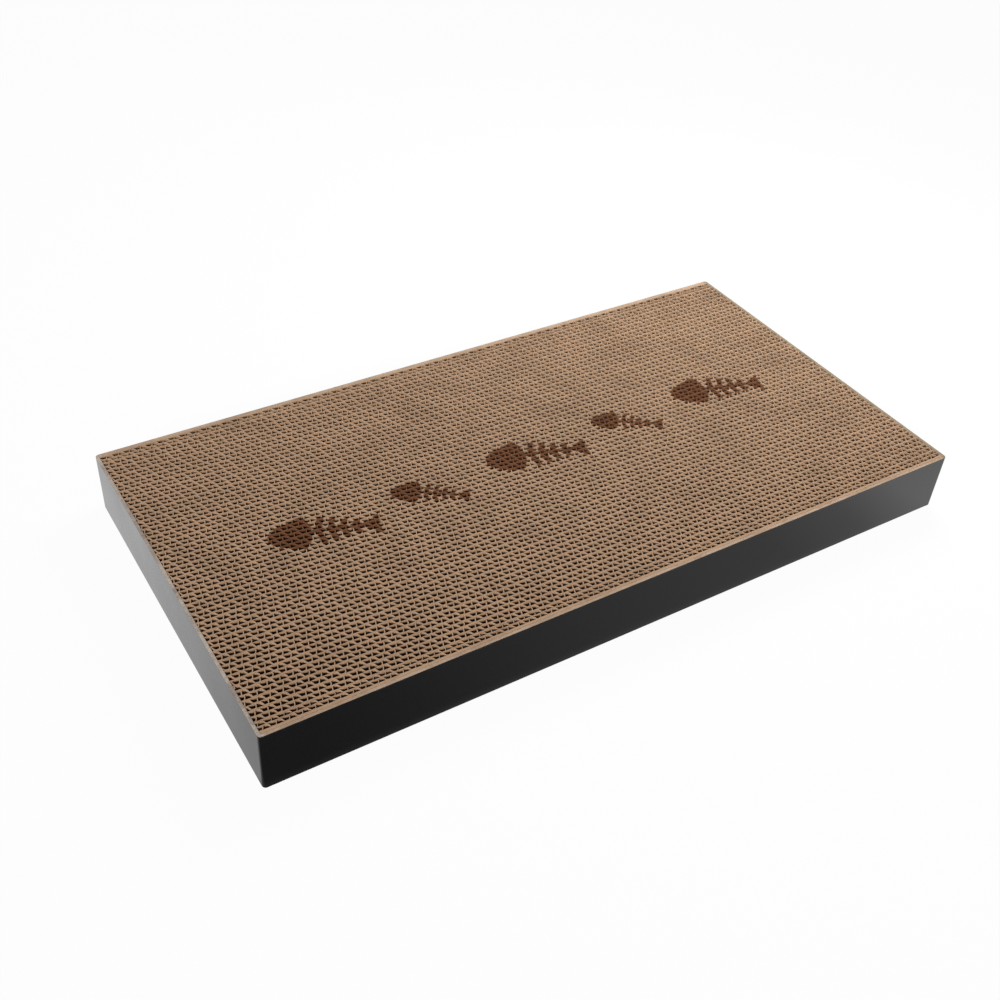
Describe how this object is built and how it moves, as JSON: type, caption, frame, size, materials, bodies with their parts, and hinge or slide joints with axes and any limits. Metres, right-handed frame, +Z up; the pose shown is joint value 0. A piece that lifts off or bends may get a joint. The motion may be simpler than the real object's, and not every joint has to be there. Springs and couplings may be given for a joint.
{
  "type": "cardboard cat scratcher",
  "caption": "Flat scratching board for cats: corrugated cardboard strips on edge, flute ends up, glued inside a dark folded board wrap, with a fish bone print.",
  "frame": {"origin": "centre of the board's underside, on the floor it lies on", "axes": "+X along the board's length and its strips, +Y from the front wall to the back wall with the seam, +Z up through the thickness"},
  "size_m": [0.48, 0.2504, 0.04],
  "materials": {
    "kraft_board": "raw brown kraft paper, saw cut, with a dark brown print on the top ends",
    "wrap_board": "satin black face on solid board, raw kraft cut edges"
  },
  "bodies": {
    "root": {"strip_01": "kraft_board", "strip_02": "kraft_board", "strip_03": "kraft_board", "strip_04": "kraft_board", "strip_05": "kraft_board", "strip_06": "kraft_board", "strip_07": "kraft_board", "strip_08": "kraft_board", "strip_09": "kraft_board", "strip_10": "kraft_board", "strip_11": "kraft_board", "strip_12": "kraft_board", "strip_13": "kraft_board", "strip_14": "kraft_board", "strip_15": "kraft_board", "strip_16": "kraft_board", "strip_17": "kraft_board", "strip_18": "kraft_board", "strip_19": "kraft_board", "strip_20": "kraft_board", "strip_21": "kraft_board", "strip_22": "kraft_board", "strip_23": "kraft_board", "strip_24": "kraft_board", "strip_25": "kraft_board", "strip_26": "kraft_board", "strip_27": "kraft_board", "strip_28": "kraft_board", "strip_29": "kraft_board", "strip_30": "kraft_board", "strip_31": "kraft_board", "strip_32": "kraft_board", "edge_wrap": "wrap_board"}
  },
  "joints": []
}
